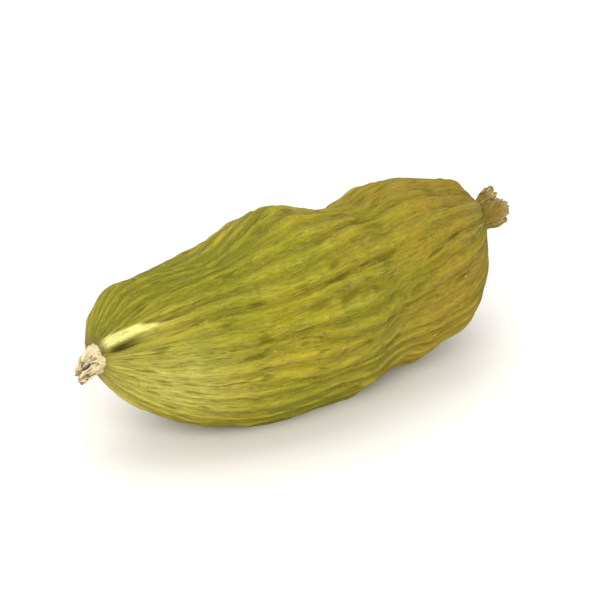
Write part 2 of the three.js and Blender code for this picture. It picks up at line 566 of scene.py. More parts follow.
class NodeBench:
    """Builds a material's nodes. Its shelf keeps textures, mixtures and the mesh's fields by name."""

    def __init__(self, name: str, textures: tuple[Texture, ...]) -> None:
        """Starts a material with a Principled shader.

        Args:
            name: name of the material.
            textures: the textures to put on the shelf.
        """
        self.material = bpy.data.materials.new(name)
        self.material.use_nodes = True
        self.tree = self.material.node_tree
        self.shader = next(n for n in self.tree.nodes if n.type == "BSDF_PRINCIPLED")
        self.shelf: dict[str, Socket] = {}
        for texture in textures:
            self.shelf[texture.name] = self._texture(texture)

    def _feed(self, socket: Socket, value: object) -> None:
        """Links a socket to another, or sets its value.

        Args:
            socket: the socket that is fed.
            value: a socket, a colour, a vector or a number.
        """
        if isinstance(value, Socket):
            self.tree.links.new(value, socket)
        elif isinstance(value, tuple) and socket.type == "RGBA":
            socket.default_value = (*value, 1.0)
        else:
            socket.default_value = value

    def _add(self, kind: str, output: str | int, inputs: dict[str | int, object], **options: str) -> Socket:
        """Adds a node.

        Args:
            kind: type of the node.
            output: which of its sockets is wanted.
            inputs: what goes into its sockets.
            options: settings of the node itself.

        Returns:
            The wanted socket.
        """
        node = self.tree.nodes.new(kind)
        for name, value in options.items():
            setattr(node, name, value)
        for name, value in inputs.items():
            self._feed(node.inputs[name], value)
        return node.outputs[output]

    def _texture(self, texture: Texture) -> Socket:
        """Draws a texture on its field, which is multiplied by its cells first.

        Args:
            texture: what to draw.

        Returns:
            The texture's value.
        """
        field = self.read(texture.reads, "Vector")
        drawn_out = self._add("ShaderNodeVectorMath", 0, {0: field, 1: texture.cells}, operation="MULTIPLY")
        inputs = {"Vector": drawn_out, "Scale": 1.0}
        if texture.pattern is Pattern.SPOTS:
            return self._add(texture.pattern.value, "Distance", {**inputs, "Randomness": 1.0})
        inputs["Detail"] = texture.detail
        inputs["Roughness"] = texture.roughness
        inputs["Distortion"] = texture.distortion
        return self._add(texture.pattern.value, "Fac", inputs)

    def read(self, name: str, output: str = "Fac") -> Socket:
        """What the shelf has under a name, or else the mesh's own field of that name.

        Args:
            name: the name.
            output: "Fac" for a field of one value, "Vector" for a vector.

        Returns:
            Its socket, which the shelf keeps.
        """
        if name not in self.shelf:
            self.shelf[name] = self._add("ShaderNodeAttribute", output, {}, attribute_name=name)
        return self.shelf[name]

    def spread(self, span: Span) -> Socket:
        """Maps a texture or field smoothly over a span.

        Args:
            span: the span.

        Returns:
            The mapped value.
        """
        inputs = {"Value": self.read(span.source), "From Min": span.low, "From Max": span.high}
        inputs |= {"To Min": span.at_low, "To Max": span.at_high}
        return self._add("ShaderNodeMapRange", "Result", inputs, interpolation_type="SMOOTHSTEP")

    def reckon(self, operation: str, first: object, second: object) -> Socket:
        """One step of arithmetic on two sockets or numbers."""
        return self._add("ShaderNodeMath", 0, {0: first, 1: second}, operation=operation)

    def mix(self, share: object, first: object, second: object, blend: str = "MIX") -> Socket:
        """Blends a share of the second colour into the first."""
        inputs = {0: share, 6: first, 7: second}
        return self._add("ShaderNodeMix", 2, inputs, data_type="RGBA", blend_type=blend)

    def paint(self, ground: object, coats: tuple[Coat, ...]) -> object:
        """Lays coats over a ground, one after another.

        Args:
            ground: socket or colour under the coats.
            coats: the coats in order.

        Returns:
            The painted colour.
        """
        for coat in coats:
            if coat.window is None:
                share = self.reckon("MULTIPLY", self.read(coat.source), coat.strength)
            else:
                share = self.spread(Span(coat.source, *coat.window, 0.0, coat.strength))
            ground = self.mix(share, ground, coat.colour)
        return ground

    def close(
        self, colour: object, roughness: float | Span, bumps: tuple[Bump, ...], specular: float
    ) -> bpy.types.Material:
        """Feeds the shader.

        Args:
            colour: socket or colour.
            roughness: one value, or a span of a texture.
            bumps: the bumps, each on top of the one before.
            specular: strength of the gloss, set on the shader itself.

        Returns:
            The material.
        """
        self._feed(self.shader.inputs["Base Color"], colour)
        rough = self.spread(roughness) if isinstance(roughness, Span) else roughness
        self._feed(self.shader.inputs["Roughness"], rough)
        under = {}
        for bump in bumps:
            inputs = {"Distance": bump.distance, "Strength": bump.strength, "Height": self.read(bump.source)}
            under = {"Normal": self._add("ShaderNodeBump", "Normal", {**inputs, **under})}
        for name, normal in under.items():
            self._feed(self.shader.inputs[name], normal)
        self.shader.inputs["Specular IOR Level"].default_value = specular
        return self.material


@dataclass(frozen=True)
class Finish:
    """A finish: textures, coats of colour over a ground, roughness, bumps and gloss."""

    name: str = "plain"
    ground: Colour = (0.5, 0.5, 0.5)
    textures: tuple[Texture, ...] = ()
    coats: tuple[Coat, ...] = ()
    bumps: tuple[Bump, ...] = ()
    roughness: float | Span = 0.6
    specular: float = 0.3

    def colour(self, bench: NodeBench) -> object:
        """The coats over the ground."""
        return bench.paint(self.ground, self.coats)

    def material(self) -> bpy.types.Material:
        """Builds the material."""
        bench = NodeBench(self.name, self.textures)
        return bench.close(self.colour(bench), self.roughness, self.bumps, self.specular)


@dataclass(frozen=True)
class HuskFinish(Finish):
    """Dry ribbed husk: green to yellow patches, ochre near the stem, pale seams; painted highlight on crests
    and pale lip, painted shade in grooves and slit.
    """

    name: str = "husk_skin"
    # The ground is the green
    ground: Colour = (0.226, 0.226, 0.006)
    yellow: Colour = (0.385, 0.314, 0.016)
    # crest is partly a painted highlight; valley is painted shade, and also the dark dashes' own green
    crest: Colour = (0.47, 0.40, 0.060)
    valley: Colour = (0.165, 0.140, 0.008)
    ochre: Colour = (0.310, 0.205, 0.022)
    # pale is the tip's and veins' own colour and the streaks' painted highlight
    pale: Colour = (0.55, 0.50, 0.115)
    seam: Colour = (0.54, 0.46, 0.14)
    # lip is the pale margin brightened by a painted highlight; gap is painted shadow in the slit
    lip: Colour = (0.91, 0.86, 0.28)
    gap: Colour = (0.10, 0.075, 0.008)
    scar: Colour = (0.26, 0.19, 0.05)
    straw: Colour = (0.36, 0.265, 0.075)
    rim: Colour = (0.44, 0.345, 0.135)
    pith: Colour = (0.17, 0.105, 0.035)
    speck: Colour = (0.52, 0.45, 0.16)
    stain: Colour = (0.17, 0.105, 0.016)
    textures: tuple[Texture, ...] = (
        Texture("patches", (0.30, 0.55, 0.55), roughness=0.55, distortion=0.4),
        Texture("streaks", (0.45, 3.6, 3.6), detail=4.0, roughness=0.6),
        Texture("dashes", (1.1, 5.5, 5.5), roughness=0.55, distortion=0.3),
        Texture("fibres", (2.0, 15.0, 15.0), roughness=0.6),
        Texture("puckers", (4.2, 1.8, 1.8), detail=4.0, roughness=0.6, distortion=0.6),
        Texture("grit", (15.0, 15.0, 15.0), detail=4.0, roughness=0.65, reads="spot"),
        Texture("specks", (0.9, 1.2, 1.2), pattern=Pattern.SPOTS),
        Texture("stains", (0.42, 0.75, 0.75), pattern=Pattern.SPOTS),
    )
    tint_share: float = 0.75
    tint_patches: Span = Span("patches", 0.3, 0.7, -0.02, 0.34)
    streaks_middle: float = 0.5
    vein_lines: Span = Span("off_middle", 0.0, 0.035, 1.0, 0.0)
    ochre_patches: Span = Span("patches", 0.3, 0.7, 0.35, 0.95)
    stain_spots: Span = Span("stains", 0.24, 0.05)
    stain_edges: Span = Span("puckers", 0.42, 0.62)
    torn_grit: Span = Span("grit", 0.46, 0.60)
    fibre_shade: Span = Span("fibres", 0.25, 0.75, 0.78, 1.16)
    coats: tuple[Coat, ...] = (
        Coat(yellow, "patchy_tint", window=(0.10, 0.80)),
        # Painted shade in the valleys between the ribs, then a painted highlight partly over the crests' own
        # paler colour
        Coat(valley, "crest", 0.54, (0.65, 0.0)),
        Coat(crest, "crest", 0.26, (0.4, 1.0)),
        # Painted shade where the streaks' bump sinks, painted highlight where it rises
        Coat(valley, "streaks", 0.55, (0.46, 0.28)),
        Coat(pale, "streaks", 0.34, (0.60, 0.80)),
        Coat(pale, "veins", 0.22),
        Coat(ochre, "ochre_share"),
        Coat(pale, "tip", 0.62),
        Coat(valley, "dashes", 0.64, (0.55, 0.70)),
        # Painted shade in the furrows
        Coat(valley, "furrow_shade", 0.74),
        Coat(seam, "seam", 0.5),
        Coat(speck, "specks", 0.5, (0.075, 0.03)),
        Coat(stain, "stained", 0.65),
    )
    stub_coats: tuple[Coat, ...] = (
        Coat(straw, "streaks", window=(0.35, 0.65)),
        Coat(rim, "rim"),
        Coat(pith, "torn_face", 0.75),
        Coat(stain, "fibres", 0.7, (0.50, 0.34)),
    )
    end_coats: tuple[Coat, ...] = (
        # The lip's painted highlight over its pale margin, then the slit's painted shadow
        Coat(lip, "lip", 0.92),
        Coat(gap, "slit"),
        Coat(scar, "scar", 0.6),
        Coat(pith, "hollow"),
    )
    bumps: tuple[Bump, ...] = (
        Bump("puckers", 0.00014, 0.40),
        Bump("streaks", 0.00022, 0.50),
        Bump("veins", 0.000035, 0.60),
        Bump("dashes", 0.00014, 0.50),
        Bump("fibres", 0.00006, 0.55),
        Bump("torn_face", 0.00005, 0.6),
    )
    roughness: float | Span = Span("streaks", 0.3, 0.7, 0.50, 0.68)
    specular: float = 0.13

    def _mixtures(self, bench: NodeBench) -> None:
        """Puts on the shelf what the coats read besides plain textures and fields.

        Args:
            bench: the bench of this material.
        """
        shelf = bench.shelf
        tint = bench.reckon("MULTIPLY", bench.read("tint"), self.tint_share)
        shelf["patchy_tint"] = bench.reckon("ADD", tint, bench.spread(self.tint_patches))
        off_middle = bench.reckon("SUBTRACT", bench.read("streaks"), self.streaks_middle)
        shelf["off_middle"] = bench.reckon("ABSOLUTE", off_middle, 0.0)
        shelf["veins"] = bench.spread(self.vein_lines)
        shelf["ochre_share"] = bench.reckon("MULTIPLY", bench.read("stem"), bench.spread(self.ochre_patches))
        spots, edges = bench.spread(self.stain_spots), bench.spread(self.stain_edges)
        shelf["stained"] = bench.reckon("MULTIPLY", spots, edges)
        shelf["torn_face"] = bench.reckon("MULTIPLY", bench.read("torn"), bench.spread(self.torn_grit))

    def colour(self, bench: NodeBench) -> object:
        """Paints skin and stub apart, joins them, adds the lip's painted highlight, the slit's painted
        shadow, scar and hollow, and shades the fibres.

        Args:
            bench: the bench of this material.

        Returns:
            The colour.
        """
        self._mixtures(bench)
        skin = bench.paint(self.ground, self.coats)
        stub = bench.paint(self.ochre, self.stub_coats)
        colour = bench.paint(bench.mix(bench.read("stub"), skin, stub), self.end_coats)
        return bench.mix(1.0, colour, bench.spread(self.fibre_shade), blend="MULTIPLY")


@dataclass(frozen=True)
class PaperyFinish(Finish):
    """Dried flower rest: cream, veined, browner towards its root, matt."""

    name: str = "flower_rest"
    ground: Colour = (0.46, 0.37, 0.15)
    cream: Colour = (0.74, 0.65, 0.40)
    vein: Colour = (0.42, 0.29, 0.12)
    textures: tuple[Texture, ...] = (
        Texture("veins", (1.2, 9.0, 9.0), roughness=0.6),
        Texture("crumple", (4.0, 4.0, 4.0), detail=4.0),
    )
    coats: tuple[Coat, ...] = (
        Coat(cream, "outness", window=(0.1, 0.75)),
        Coat(vein, "veins", 0.75, (0.48, 0.30)),
        Coat(vein, "outness", 0.5, (0.86, 1.0)),
    )
    bumps: tuple[Bump, ...] = (Bump("crumple", 0.00012, 0.5), Bump("veins", 0.00006, 0.6))
    roughness: float | Span = Span("crumple", 0.3, 0.7, 0.62, 0.78)
    specular: float = 0.28


@dataclass(frozen=True)
class StrandFinish(Finish):
    """Torn stem fibres: straw, darker at the root."""

    name: str = "torn_fibre"
    ground: Colour = (0.24, 0.15, 0.05)
    straw: Colour = (0.52, 0.41, 0.18)
    textures: tuple[Texture, ...] = (Texture("mottle", (6.0, 12.0, 12.0)),)
    coats: tuple[Coat, ...] = (
        Coat(straw, "outness", window=(0.0, 0.6)),
        Coat(ground, "mottle", 0.5, (0.55, 0.35)),
    )
    bumps: tuple[Bump, ...] = (Bump("mottle", 0.00004, 0.5),)
    roughness: float | Span = 0.68
    specular: float = 0.3


# Pieces


@dataclass
class PodPiece:
    """What the pieces share: the pod's form, a finish, the stub's oval and the object once it is built."""

    shape: PodShape
    finish: Finish = Finish()
    stub_pinch: float = 0.14
    stub_pinch_start: float = 1.1
    piece: bpy.types.Object | None = None

    def oval(self, a: np.ndarray) -> np.ndarray:
        """How far the stub is pressed oval: a share of its radius by the cosine of twice the angle."""
        return self.stub_pinch * np.cos(2 * a + self.stub_pinch_start)

    def dress(self) -> None:
        """Gives the piece its finish."""
        self.piece.data.materials.append(self.finish.material())
        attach(self.piece, "root")


@dataclass(frozen=True)
class HuskMarks:
    """Where the husk's colours change.

    A pair is where a colour starts and ends. Those of the stem and tip are shares of the length, that of the
    seams is a share of half the length from the middle, those of the wedge and the lip's fall are millimetres
    past the slit, and the others are millimetres along the pod. The two pairs after the wedge are the least
    share of a width and what it gains in the wedge.
    """

    husk_fade_radius: float = 0.9
    uneven: Mottle = Mottle(0.5, 6, 9, 31)
    crest_off_husk: float = 0.5
    crest_mean: float = 0.8
    crest_change: float = 0.2
    tint_mean: float = 0.5
    tint_change: float = 0.6
    greener: Swelling = Swelling(0.16, 100, 0.19, math.degrees(0.95), -0.85)
    paler: Swelling = Swelling(0.13, -20, 0.11, math.degrees(0.6), 0.1)
    seam_ends: Pair = (0.70, 1.0)
    seam_change: float = 0.25
    seam_width: float = 0.05
    seam_least_radius: float = 0.6
    # Where the slit's painted shadow and the lip's painted highlight lie
    gap_fade_to: float = 0.8
    lip_rise: Pair = (0.1, 0.45)
    lip_fall: Pair = (0.4, -0.1)
    lip_shift: float = 0.1
    lip_power: float = 5.0
    slit_power: float = 4.0
    wedge: Pair = (0.35, -0.65)
    wedge_slit: Pair = (0.5, 0.42)
    wedge_lip: Pair = (0.4, 0.58)
    stem: Pair = (0.44, 0.92)
    stem_change: float = 0.12
    stem_upper_gain: float = 0.07
    upper_side: float = math.radians(70)
    tip: Pair = (0.24, 0.02)
    tip_change: float = 0.08
    tip_strength: float = 0.5
    tip_patch: float = 0.9
    scar: Pair = (0.50, 0.28)
    stub: Pair = (16.1, 16.4)
    rim_width: float = 0.3


@dataclass
class Husk(PodPiece):
    """The whole skin of the pod: husk, collar, hollow stub, in one closed surface."""

    finish: Finish = HuskFinish()
    marks: HuskMarks = HuskMarks()
    # Rings: distance along and the spacing wanted there, then the steps over the rim and down the hollow
    points_per_rib: int = 16
    spacing: tuple[Pair, ...] = (
        (0.0, 0.012), (0.3, 0.045), (1.5, 0.085), (4.0, 0.12),
        (13.0, 0.12), (15.5, 0.09), (16.3, 0.055), (17.2, 0.055),
    )
    spacing_samples: int = 4000
    rim_steps: int = 5
    well_steps: int = 6
    floor_rings: tuple[Pair, ...] = ((0.66, 0.7), (0.33, 1.0))
    floor_dimple: float = 0.01
    # Ribs and the veins between them
    jitter_terms: tuple[Wave | Mottle, ...] = (
        Wave(0.022, 5, 11), Wave(0.014, -7, 17, 2), Mottle(0.009, 24, 60, 13)
    )
    crest_sharpness: float = 1.35
    second_ribs: int = 23
    second_share: float = 0.50
    second_drift: float = 2.2
    second_sway: Wave = Wave(0.6, 9, 0)
    merging: Mottle = Mottle(1.0, 6, 8, 14)
    merging_edge: Pair = (-0.45, 0.55)
    merging_start: Pair = (0.02, 0.2)
    merging_end: Pair = (0.98, 0.8)
    rib_middle: float = 0.78
    rib_end_gain: float = 0.5
    rib_least: float = 0.4
    rib_change: float = 0.35
    break_up: float = 0.54
    break_cells: int = 15
    break_seed: int = 11
    veins_per_rib: int = 3
    vein_height: float = 0.024
    vein_mean: float = 0.6
    vein_change: Mottle = Mottle(0.4, 16, 60, 6)
    vein_bend: Mottle = Mottle(1.5, 9, 30, 5)
    # Puckers, furrows and lumps of the dried skin
    pucker_height: float = 0.025
    puckers: tuple[Mottle, ...] = (Mottle(1.0, 28, 56, 7), Mottle(0.7, 40, 96, 8))
    furrow_depth: float = 0.065
    furrow_noise: tuple[Mottle, ...] = (Mottle(1.0, 16, 62, 15), Mottle(0.6, 27, 110, 16))
    furrow_edge: Pair = (0.42, 0.95)
    lump_height: float = 0.055
    lumps: tuple[Mottle, ...] = (Mottle(1.0, 7, 9, 21), Mottle(0.5, 13, 15, 22))
    # Slit, where the source's is filled up again, and the blossom tip, which is drawn in
    gap_start: float = 0.7
    gap_end: float = 1.55
    gap_rise: float = 0.12
    gap_fill: float = 0.34
    tip_recess: float = 0.34
    tip_recess_reach: float = 0.7
    # Stub: its fibres, its ragged rim, and the splits of the rim by angle, half width and depth
    stub_from: Pair = (16.2, 16.5)
    stub_fibres: tuple[Mottle, ...] = (Mottle(0.022, 60, 30, 42), Mottle(0.03, 30, 8, 44))
    well_fibres: tuple[Mottle, ...] = (Mottle(0.03, 40, 24, 41), Mottle(0.03, 30, 8, 44))
    rim_noise: tuple[Mottle, ...] = (Mottle(1.0, 1, 22, 43), Mottle(0.6, 1, 60, 45))
    rim_noise_top: float = 0.4
    rim_raggedness: float = 0.13
    rim_splits: tuple[tuple[float, float, float], ...] = (
        (0.9, 0.09, 0.34), (2.35, 0.06, 0.22), (3.7, 0.12, 0.42), (4.6, 0.05, 0.2), (5.75, 0.07, 0.27)
    )
    pinch_from: Pair = (16.3, 17.0)

    def stations(self) -> np.ndarray:
        """Distances along the outside: the running sum of 1 over the wanted spacing, cut into even steps.

        Returns:
            Distances from just past the blossom pole to the top of the stub.
        """
        at, gap = np.array(self.spacing).T
        x = np.linspace(0, self.shape.stub_top, self.spacing_samples)
        count = np.concatenate([[0.0], np.cumsum(np.diff(x) / np.interp(x[1:], at, gap))])
        steps = int(round(count[-1]))
        return np.interp(np.arange(1, steps + 1) / steps * count[-1], count, x)

    def profile(self) -> tuple[np.ndarray, np.ndarray, np.ndarray]:
        """Distance along and radius of every ring, from the blossom pole over the rim into the hollow.

        Returns:
            Distances, radii, and the value of each ring's zone.
        """
        s = self.shape
        x = self.stations()
        r = s.outer(x)
        rim_outer = float(s.outer(np.array([s.length]))[0])
        arc = np.linspace(0, math.pi / 2, self.rim_steps + 1)[1:]
        outer_x = s.stub_top + s.rim_rounding * np.sin(arc)
        outer_r = rim_outer - s.rim_rounding * (1 - np.cos(arc))
        inner_x = s.stub_top + s.rim_rounding * np.cos(arc)
        inner_r = s.hollow_radius + s.rim_rounding * (1 - np.sin(arc))
        well = np.linspace(0, 1, self.well_steps + 1)[1:]
        well_x = s.stub_top - (s.hollow_depth - s.rim_rounding) * well
        well_r = s.hollow_radius + (s.hollow_floor_radius - s.hollow_radius) * well**2
        floor_share, floor_drop = np.array(self.floor_rings).T
        floor_x = well_x[-1] - s.rim_setback * floor_drop
        zones = (Zone.OUTSIDE, Zone.RIM, Zone.RIM, Zone.HOLLOW, Zone.HOLLOW)
        counts = [len(part) for part in (x, arc, arc, well, floor_x)]
        return (
            np.concatenate([x, outer_x, inner_x, well_x, floor_x]),
            np.concatenate([r, outer_r, inner_r, well_r, s.hollow_floor_radius * floor_share]),
            np.repeat([zone.value for zone in zones], counts),
        )

    def rib_wave(self, u: np.ndarray, a: np.ndarray) -> np.ndarray:
        """Height pattern of the ribs, 0 in a valley to 1 on a crest.

        The source's ribs are mixed with a second, coarser set where a slow noise lets it through, so ribs
        swell, split and run together.

        Args:
            u: place along the pod, 0 to 1.
            a: rib line in radians.

        Returns:
            The pattern.
        """
        s = self.shape
        drift = self.second_drift * u + self.second_sway.at(u, a)
        second = 0.5 * np.cos(self.second_ribs * (a - s.corner_at) + drift) + 0.5
        mask = self.second_share * smooth_step(*self.merging_edge, self.merging.at(u, a))
        mask = mask * smooth_step(*self.merging_start, u) * smooth_step(*self.merging_end, u)
        return (s.rib_wave(a) * (1 - mask) + second * mask) ** self.crest_sharpness

    def broken(self, u: np.ndarray, a: np.ndarray) -> np.ndarray:
        """Where single ribs weaken or gain: a noise with one cell for each rib, -1 to 1."""
        return lattice_noise(u, a, (self.break_cells, self.shape.rib_count), self.break_seed)

    def furrows(self, u: np.ndarray, a: np.ndarray) -> np.ndarray:
        """Short furrows between the ribs, sunk in the mesh and darkened with painted shade: the top of a
        noise drawn out along the pod, 0 to 1.
        """
        return smooth_step(*self.furrow_edge, add_up(self.furrow_noise, u, a))

    def fine_relief(self, x: np.ndarray, a: np.ndarray, r: np.ndarray) -> np.ndarray:
        """Relief finer than the source's: broken ribs, veins between them, furrows, puckers and soft lumps.

        Args:
            x: distance along the pod.
            a: rib line in radians.
            r: smooth radius there.

        Returns:
            The height in millimetres to add to the source's relief.
        """
        s = self.shape
        u = s.along(x)
        full = np.clip(r / s.husk_radius, 0, 1)
        ends = self.rib_middle + self.rib_end_gain * np.abs(2 * u - 1) ** 2
        broken = 1 + self.break_up * self.broken(u, a)
        strength = s.fade(r) * s.rib_height
        ribs = ends * broken * (self.rib_change * s.rib_strength(u, a) + self.rib_least) * self.rib_wave(u, a)
        height = strength * ribs - strength * s.rib_strength(u, a) * s.rib_wave(a)
        vein_lines = self.veins_per_rib * s.rib_count * (a - s.corner_at)
        veins = np.cos(vein_lines + self.vein_bend.at(u, a)) * (self.vein_mean + self.vein_change.at(u, a))
        height += self.vein_height * s.fade(r) * veins
        height += self.pucker_height * full * add_up(self.puckers, u, a)
        height -= self.furrow_depth * full * self.furrows(u, a)
        height += self.lump_height * full * add_up(self.lumps, u, a)
        cut = bell(s.across(a, r) - s.slit_offset, s.slit_half_width)
        filling = self.gap_rise + self.gap_fill * smooth_step(self.gap_start, self.gap_end, x)
        return height + s.slit_window(x) * cut * filling

    def fields(self, x: np.ndarray, a: np.ndarray, r: np.ndarray, zone: np.ndarray) -> dict[str, np.ndarray]:
        """What the finish reads at each point.

        Args:
            x: distance along the pod.
            a: rib line in radians.
            r: smooth radius there.
            zone: value of the zone there.

        Returns:
            Field name to its values.
        """
        s, m = self.shape, self.marks
        u = s.along(x)
        direction = s.rib_direction(u, a)
        across = s.across(a, r)
        outside, on_rim, in_hollow = (zone == each.value for each in Zone)
        on_husk = np.clip(s.smooth_husk(x) / m.husk_fade_radius, 0, 1) ** 2
        uneven = m.uneven.at(u, a)
        greener, paler = m.greener.share(u, direction), m.paler.share(u, direction)
        # Masks of the slit's painted shadow and of the lip's painted highlight, both narrowing towards the
        # slit's far end
        wedge = smooth_step(s.slit_end + m.wedge[0], s.slit_end + m.wedge[1], x)
        slit_width, lip_width = (low + gain * wedge for low, gain in (m.wedge_slit, m.wedge_lip))
        slit = bell(across - s.slit_offset, s.slit_half_width * slit_width, m.slit_power)
        lip_at = s.lip_offset - m.lip_shift * (1 - wedge)
        lip = bell(across - lip_at, s.lip_half_width * lip_width, m.lip_power)
        lip_end = smooth_step(s.slit_end + m.lip_fall[0], s.slit_end + m.lip_fall[1], x)
        # Rib pattern that places the painted highlight on the crests and the painted shade in the valleys
        crest = self.rib_wave(u, a) * (m.crest_mean + m.crest_change * self.broken(u, a))
        tint = m.tint_mean + m.tint_change * uneven + m.greener.height * greener + m.paler.height * paler
        near_ends = smooth_step(*m.seam_ends, np.abs(2 * u - 1) + m.seam_change * uneven)
        from_seam = s.from_seam(a) * np.maximum(r, m.seam_least_radius) / s.husk_radius
        stem = u + m.stem_change * uneven + m.stem_upper_gain * np.cos(direction - m.upper_side)
        tip = m.tip_strength * smooth_step(*m.tip, u + m.tip_change * uneven)
        return {
            "crest": crest * on_husk + m.crest_off_husk * (1 - on_husk),
            # Painted shade in the furrows
            "furrow_shade": self.furrows(u, a) * on_husk,
            "tint": np.clip(tint, 0, 1),
            "seam": bell(from_seam, m.seam_width) * on_husk * near_ends,
            # Painted shadow in the slit, then the lip's pale margin with its painted highlight
            "slit": s.slit_window(x) * slit * smooth_step(self.gap_end, m.gap_fade_to, x),
            "lip": smooth_step(*m.lip_rise, x) * lip_end * lip,
            "stem": smooth_step(*m.stem, stem) * ~in_hollow,
            "tip": np.clip(tip * (1 - greener) + m.tip_patch * paler, 0, 1),
            "scar": smooth_step(*m.scar, x),
            "stub": np.where(outside, smooth_step(*m.stub, x), 1.0),
            "rim": np.where(outside, smooth_step(s.stub_top - m.rim_width, s.stub_top, x), on_rim),
            "hollow": in_hollow.astype(float),
            "torn": on_rim.astype(float),
        }

    def surface(self, x: np.ndarray, a: np.ndarray, r: np.ndarray, zone: np.ndarray) -> np.ndarray:
        """Points of the skin: place(x, direction, radius plus relief), its rim torn and its tip drawn in.

        Args:
            x: distance along the pod.
            a: rib line in radians.
            r: smooth radius there.
            zone: value of the zone there.

        Returns:
            Points in millimetres.
        """
        s = self.shape
        u = s.along(x)
        height = np.where(zone == Zone.OUTSIDE.value, s.relief(x, a, r) + self.fine_relief(x, a, r), 0.0)
        stub_fibre = smooth_step(*self.stub_from, x) * add_up(self.stub_fibres, u, a)
        height += np.where(zone == Zone.HOLLOW.value, add_up(self.well_fibres, u, a), stub_fibre)
        ragged = self.rim_raggedness * (add_up(self.rim_noise, 0 * u, a) - self.rim_noise_top)
        rim_x = s.rim_wave(a) - s.rim_setback + ragged
        for at, width, depth in self.rim_splits:
            rim_x = rim_x - depth * bell(wrap_angle(a - at), width)
        pinch = 1 + smooth_step(*self.pinch_from, x) * self.oval(a)
        reach = smooth_step(s.length - s.stub_flare_length, s.stub_top, x)
        recess = self.tip_recess * np.clip(1 - x / self.tip_recess_reach, 0, 1) ** 2
        jitter = s.middle(u) * add_up(self.jitter_terms, u, a)
        return s.place(x + rim_x * reach + recess, s.rib_direction(u, a) + jitter, (r + height) * pinch)

    def build(self) -> None:
        """Builds the skin on a grid of rings and rib lines, closed by two poles."""
        s = self.shape
        ring_x, ring_r, ring_zone = self.profile()
        columns = s.rib_count * self.points_per_rib
        lines = s.corner_at + TURN * np.arange(columns) / columns
        x, a = np.meshgrid(ring_x, lines, indexing="ij")
        r = np.broadcast_to(ring_r[:, None], x.shape)
        zone = np.broadcast_to(ring_zone[:, None], x.shape)
        pole_x = np.array([self.tip_recess, ring_x[-1] - self.floor_dimple])
        poles = s.place(pole_x, np.zeros(2), np.zeros(2))
        skin = self.surface(x, a, r, zone).reshape(-1, 3)
        points = np.concatenate([poles[:1], skin, poles[1:]]) + s.row_shift()
        points[:, 2] = np.maximum(points[:, 2], 0.0)
        named = self.fields(x, a, r, zone)
        fields = {name: self._with_poles(values) for name, values in named.items()}
        drum = s.husk_radius
        grain = np.stack([x, drum * np.cos(a), drum * np.sin(a)], axis=-1).reshape(-1, 3)
        fields["grain"] = np.concatenate([grain[:1], grain, grain[-1:]])
        fields["spot"] = points
        self.piece = make_mesh("husk", points, closed_skin(len(ring_x), columns), fields)

    def _with_poles(self, values: np.ndarray) -> np.ndarray:
        """A grid of values as one list, with the mean of the first and last ring at the poles."""
        return np.concatenate([[values[0].mean()], values.ravel(), [values[-1].mean()]])

    def dress(self) -> None:
        """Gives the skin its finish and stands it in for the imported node."""
        super().dress()
        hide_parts("cardamom_pod")


@dataclass(frozen=True)
class Flake:
    """One dry flake of the flower rest: where it grows, its width and length, how far its tip leans in."""

    angle: float
    half_width: float
    length: float
    root_radius: float
    lean: float
    curl: float
    seed: int


